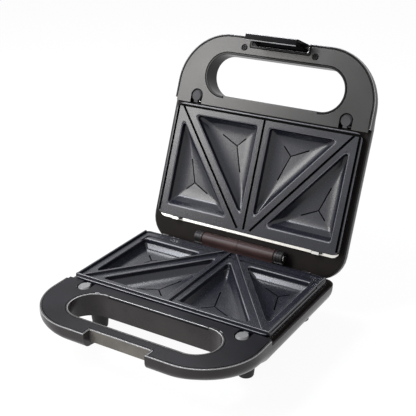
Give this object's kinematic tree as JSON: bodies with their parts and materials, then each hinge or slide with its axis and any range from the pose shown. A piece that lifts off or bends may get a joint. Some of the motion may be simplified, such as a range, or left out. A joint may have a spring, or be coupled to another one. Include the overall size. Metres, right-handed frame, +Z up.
{
  "type": "sandwich toaster",
  "caption": "Sandwich toaster with a hinged lid standing open, triangular pockets in removable cooking plates, handles with grip openings, a latch and release buttons.",
  "frame": {"origin": "on the table under the middle of the open toaster's width and depth", "axes": "+Z up, +Y to the back where the hinge and the open lid are, X along the hinge"},
  "size_m": [0.231, 0.3191, 0.2677],
  "materials": {
    "housing": "satin black moulded plastic",
    "panel": "satin black moulded plastic",
    "nonstick": "dark grey speckled non-stick coating on cast aluminium",
    "reflector": "bright rolled sheet",
    "heating_tube": "dull heat-tinted steel tube",
    "bright_steel": "zinc-plated steel",
    "button": "light grey plastic",
    "lid_button": "dark grey textured plastic",
    "catch": "stamped steel",
    "rubber": "black rubber",
    "hinge": "dark brown-black plastic",
    "latch": "glossy black plastic",
    "block": "cream plastic",
    "wire": "red insulation",
    "ceramic": "pale ceramic and steel",
    "lamp": "neon lamp",
    "red_lens": "red lens",
    "green_lens": "green lens"
  },
  "bodies": {
    "base": {"base_shell": "housing", "base_frame": "panel", "base_plate": "nonstick", "base_reflector": "reflector", "base_heater": "heating_tube", "base_heater_clips": "bright_steel", "base_plate_hooks": "bright_steel", "base_catch_spring_left": "bright_steel", "base_catch_spring_right": "bright_steel", "base_screws": "bright_steel", "front_feet": "rubber", "rear_feet": "rubber", "foot_screws": "bright_steel", "cord_gland": "rubber", "terminal_block": "block", "base_leads": "wire", "thermostat": "ceramic", "thermal_fuse": "ceramic", "hinge_barrel": "hinge"},
    "lid": {"hinge_pin_left": "bright_steel", "hinge_pin_right": "bright_steel", "lid_shell": "housing", "lid_frame": "panel", "lid_plate": "nonstick", "lid_reflector": "reflector", "lid_heater": "heating_tube", "lid_heater_clips": "bright_steel", "lid_plate_hooks": "bright_steel", "lid_catch_spring_left": "bright_steel", "lid_catch_spring_right": "bright_steel", "lid_screws": "bright_steel", "knuckle_left": "hinge", "knuckle_right": "hinge", "lid_leads": "wire", "neon_lamps": "lamp", "power_lens": "red_lens", "ready_lens": "green_lens", "latch_pin": "bright_steel"},
    "latch": {"latch": "latch"},
    "base_button_left": {"base_button_left": "button"},
    "base_catch_left": {"base_catch_left": "catch"},
    "base_button_right": {"base_button_right": "button"},
    "base_catch_right": {"base_catch_right": "catch"},
    "lid_button_left": {"lid_button_left": "lid_button"},
    "lid_catch_left": {"lid_catch_left": "catch"},
    "lid_button_right": {"lid_button_right": "lid_button"},
    "lid_catch_right": {"lid_catch_right": "catch"}
  },
  "joints": [
    {"name": "lid_hinge", "type": "hinge", "parent": "base", "child": "lid", "pos_m": [0, 0.0622, 0.0535], "axis": [1, 0, 0], "range_deg": [0, 112]},
    {"name": "latch_pivot", "type": "hinge", "parent": "lid", "child": "latch", "pos_m": [0, 0.14927, 0.25301], "axis": [1, 0, 0], "range_deg": [-35, 12]},
    {"name": "base_button_left_press", "type": "slide", "parent": "base", "child": "base_button_left", "axis": [0, 0, -1], "range_m": [0, 0.0026]},
    {"name": "base_catch_left_slide", "type": "slide", "parent": "base", "child": "base_catch_left", "axis": [0, -1, 0], "range_m": [0, 0.0026], "stiffness_N_per_m": 300, "springref_m": -0.004, "deforming": ["base_catch_spring_left"]},
    {"name": "base_button_right_press", "type": "slide", "parent": "base", "child": "base_button_right", "axis": [0, 0, -1], "range_m": [0, 0.0026]},
    {"name": "base_catch_right_slide", "type": "slide", "parent": "base", "child": "base_catch_right", "axis": [0, -1, 0], "range_m": [0, 0.0026], "stiffness_N_per_m": 300, "springref_m": -0.004, "deforming": ["base_catch_spring_right"]},
    {"name": "lid_button_left_press", "type": "slide", "parent": "lid", "child": "lid_button_left", "axis": [0, 0.9272, -0.3746], "range_m": [0, 0.0026]},
    {"name": "lid_catch_left_slide", "type": "slide", "parent": "lid", "child": "lid_catch_left", "axis": [0, 0.3746, 0.9272], "range_m": [0, 0.0026], "stiffness_N_per_m": 300, "springref_m": -0.004, "deforming": ["lid_catch_spring_left"]},
    {"name": "lid_button_right_press", "type": "slide", "parent": "lid", "child": "lid_button_right", "axis": [0, 0.9272, -0.3746], "range_m": [0, 0.0026]},
    {"name": "lid_catch_right_slide", "type": "slide", "parent": "lid", "child": "lid_catch_right", "axis": [0, 0.3746, 0.9272], "range_m": [0, 0.0026], "stiffness_N_per_m": 300, "springref_m": -0.004, "deforming": ["lid_catch_spring_right"]}
  ],
  "couplings": [
    {"joint": "base_catch_left_slide", "follows": "base_button_left_press", "ratio": 1},
    {"joint": "base_catch_right_slide", "follows": "base_button_right_press", "ratio": 1},
    {"joint": "lid_catch_left_slide", "follows": "lid_button_left_press", "ratio": 1},
    {"joint": "lid_catch_right_slide", "follows": "lid_button_right_press", "ratio": 1}
  ]
}
